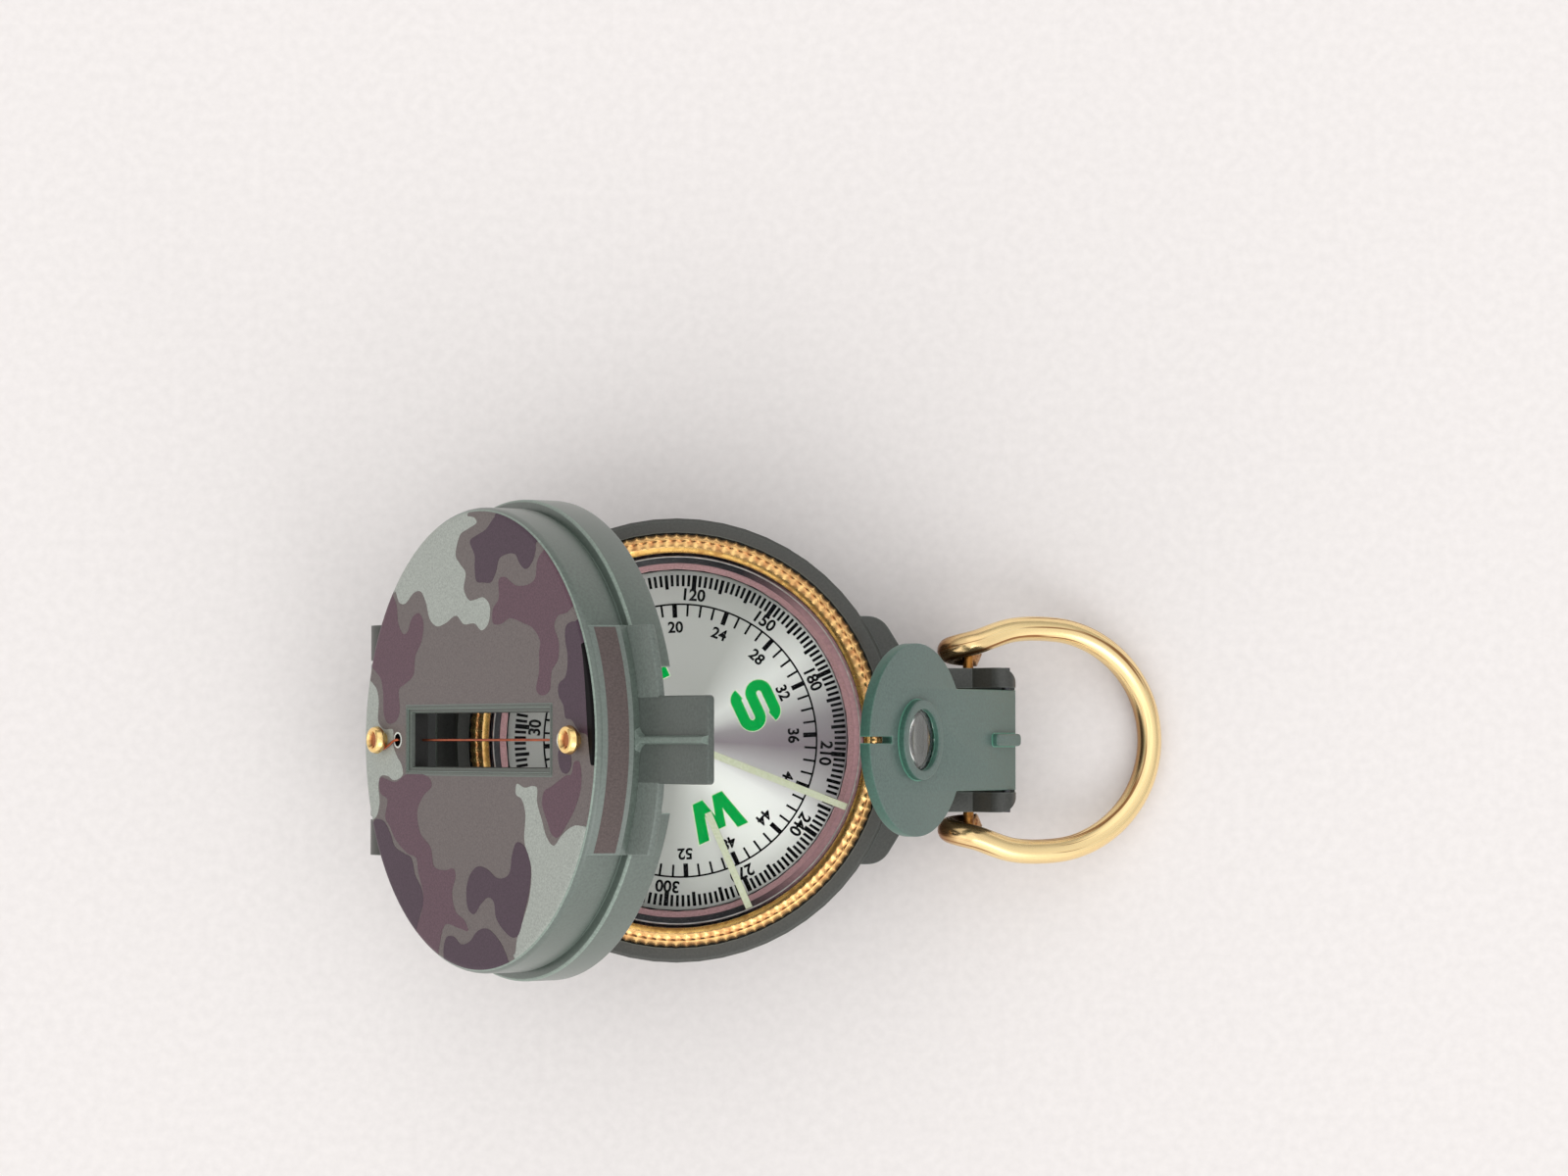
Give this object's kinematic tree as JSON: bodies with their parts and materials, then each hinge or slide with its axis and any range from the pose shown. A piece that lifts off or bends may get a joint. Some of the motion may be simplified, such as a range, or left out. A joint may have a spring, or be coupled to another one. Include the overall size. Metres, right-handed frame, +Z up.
{
  "type": "lensatic compass",
  "caption": "Folding sighting compass: camouflage cover with window and sighting wire, knurled turning bezel, floating dial, lens bracket and thumb ring.",
  "frame": {"origin": "on the dial's axis at the flat underside of the case", "axes": "+Z up, +X from the cover's hinge towards the thumb ring, +Y across"},
  "size_m": [0.0972, 0.055, 0.0807],
  "materials": {
    "case_plastic": "satin moulded, lightly speckled green",
    "cover_plastic": "satin moulded, printed with a camouflage pattern",
    "bracket_plastic": "satin moulded green",
    "capsule_plastic": "moulded, dull pink",
    "black_plastic": "moulded black",
    "seal_rubber": "matte black",
    "crystal_glass": "clear",
    "lens_glass": "clear, faintly blue",
    "gold_brass": "polished, gold coloured",
    "steel": "plain",
    "magnet_steel": "dark",
    "copper_wire": "drawn wire, copper red",
    "dial_aluminium": "brushed, printed in black and green",
    "jewel": "polished red bearing cup",
    "luminous_paint": "pale luminous strip"
  },
  "bodies": {
    "base": {"base_case": "case_plastic", "capsule_cup": "capsule_plastic", "capsule_seal": "seal_rubber", "capsule_crystal": "crystal_glass", "capsule_retainer": "black_plastic", "pivot_needle": "steel", "bezel_click_spring": "steel", "cover_hinge_pin": "steel", "bracket_hinge_pin": "steel", "ring_pivot_pin": "gold_brass"},
    "dial": {"dial_card": "dial_aluminium", "dial_magnet": "magnet_steel", "jewel_bearing": "jewel"},
    "bezel": {"bezel_ring": "gold_brass", "bezel_glass": "crystal_glass", "marching_line_long": "luminous_paint", "marching_line_short": "luminous_paint"},
    "cover": {"cover_shell": "cover_plastic", "sight_wire": "copper_wire", "sight_stud_front": "gold_brass", "sight_stud_rear": "gold_brass"},
    "bracket": {"lens_bracket": "bracket_plastic", "magnifier_lens": "lens_glass", "lens_retainer": "black_plastic"},
    "ring": {"thumb_ring": "gold_brass"}
  },
  "joints": [
    {"name": "cover_hinge", "type": "hinge", "parent": "base", "child": "cover", "pos_m": [-0.033, 0, 0.01615], "axis": [0, -1, 0], "range_deg": [-56, 49]},
    {"name": "bracket_hinge", "type": "hinge", "parent": "base", "child": "bracket", "pos_m": [0.04, 0, 0.016], "axis": [0, 1, 0], "range_deg": [-52.6, 46]},
    {"name": "ring_pivot", "type": "hinge", "parent": "base", "child": "ring", "pos_m": [0.0357, 0, 0.01], "axis": [0, -1, 0], "range_deg": [-60, 70]},
    {"name": "dial_turn", "type": "hinge", "parent": "base", "child": "dial", "pos_m": [0, 0, 0.0098], "axis": [0, 0, 1], "continuous": true},
    {"name": "bezel_turn", "type": "hinge", "parent": "base", "child": "bezel", "pos_m": [0, 0, 0.015], "axis": [0, 0, 1], "continuous": true}
  ],
  "couplings": [
    {"joint": "bracket_hinge", "follows": "cover_hinge", "ratio": 0.9375}
  ]
}
